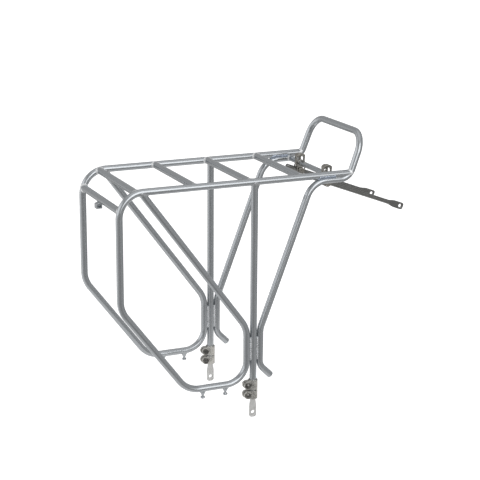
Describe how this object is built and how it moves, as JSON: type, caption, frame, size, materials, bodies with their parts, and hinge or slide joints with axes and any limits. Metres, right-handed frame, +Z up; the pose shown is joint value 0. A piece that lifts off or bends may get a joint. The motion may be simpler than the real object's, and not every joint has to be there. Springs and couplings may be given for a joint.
{
  "type": "bicycle rear rack",
  "caption": "Brazed tube rear rack with pannier side loops, an upright front hoop, height-adjustable feet and two sliding, tilting stays.",
  "frame": {"origin": "below the middle of the rack, at the level of the feet's lowest points", "axes": "+Z up, +X forward towards the saddle, +Y to the bicycle's left"},
  "size_m": [0.4676, 0.1764, 0.4098],
  "materials": {
    "silver_paint": "metallic silver paint over brazed steel tube, slightly bluish at the joints",
    "clamp_steel": "dull warm stainless casting",
    "bolt_steel": "darkened bolt steel",
    "raw_steel": "pale tumbled steel",
    "dark_rod": "dark grey steel rod",
    "dark_clamp": "dark brownish steel strap"
  },
  "bodies": {
    "frame": {"right_side_loop": "silver_paint", "left_side_loop": "silver_paint", "front_hoop": "silver_paint", "right_leg": "silver_paint", "left_leg": "silver_paint", "deck_crossbar_1": "silver_paint", "deck_crossbar_2": "silver_paint", "deck_crossbar_3": "silver_paint", "deck_crossbar_4": "silver_paint", "rear_crossbar": "silver_paint", "stay_crossbar": "silver_paint", "light_bracket": "silver_paint", "right_peg_front": "silver_paint", "right_peg_rear": "silver_paint", "left_peg_front": "silver_paint", "left_peg_rear": "silver_paint"},
    "right_foot_clamp": {"right_leg_clamp": "clamp_steel", "right_clamp_bolt_upper": "bolt_steel", "right_clamp_bolt_lower": "bolt_steel", "right_clamp_nut_upper": "bolt_steel", "right_clamp_nut_lower": "bolt_steel"},
    "right_foot": {"right_foot_rod": "raw_steel"},
    "right_stay_clamp": {"right_stay_link": "dark_clamp", "right_stay_screw": "bolt_steel"},
    "right_stay_swivel": {"right_stay_barrel": "dark_clamp"},
    "right_stay_rod": {"right_stay": "dark_rod"},
    "left_foot_clamp": {"left_leg_clamp": "clamp_steel", "left_clamp_bolt_upper": "bolt_steel", "left_clamp_bolt_lower": "bolt_steel", "left_clamp_nut_upper": "bolt_steel", "left_clamp_nut_lower": "bolt_steel"},
    "left_foot": {"left_foot_rod": "raw_steel"},
    "left_stay_clamp": {"left_stay_link": "dark_clamp", "left_stay_screw": "bolt_steel"},
    "left_stay_swivel": {"left_stay_barrel": "dark_clamp"},
    "left_stay_rod": {"left_stay": "dark_rod"}
  },
  "joints": [
    {"name": "right_foot_turn", "type": "hinge", "parent": "frame", "child": "right_foot_clamp", "pos_m": [-0.0265, -0.0792, 0.04373], "axis": [0, 0, 1], "range_deg": [-20, 20]},
    {"name": "right_foot_slide", "type": "slide", "parent": "right_foot_clamp", "child": "right_foot", "axis": [0, 0, -1], "range_m": [0, 0.035]},
    {"name": "right_stay_clamp_slide", "type": "slide", "parent": "frame", "child": "right_stay_clamp", "axis": [0, -1, 0], "range_m": [-0.03, 0.02]},
    {"name": "right_stay_tilt", "type": "hinge", "parent": "right_stay_clamp", "child": "right_stay_swivel", "pos_m": [0.104, -0.0436, 0.33128], "axis": [0, 1, 0], "range_deg": [-12, 12]},
    {"name": "right_stay_slide", "type": "slide", "parent": "right_stay_swivel", "child": "right_stay_rod", "axis": [0.9348, 0, -0.3551], "range_m": [-0.025, 0.015]},
    {"name": "left_foot_turn", "type": "hinge", "parent": "frame", "child": "left_foot_clamp", "pos_m": [-0.0265, 0.0792, 0.04373], "axis": [0, 0, 1], "range_deg": [-20, 20]},
    {"name": "left_foot_slide", "type": "slide", "parent": "left_foot_clamp", "child": "left_foot", "axis": [0, 0, -1], "range_m": [0, 0.035]},
    {"name": "left_stay_clamp_slide", "type": "slide", "parent": "frame", "child": "left_stay_clamp", "axis": [0, 1, 0], "range_m": [-0.03, 0.02]},
    {"name": "left_stay_tilt", "type": "hinge", "parent": "left_stay_clamp", "child": "left_stay_swivel", "pos_m": [0.104, 0.0436, 0.33128], "axis": [0, 1, 0], "range_deg": [-12, 12]},
    {"name": "left_stay_slide", "type": "slide", "parent": "left_stay_swivel", "child": "left_stay_rod", "axis": [0.9348, 0, -0.3551], "range_m": [-0.025, 0.015]}
  ]
}
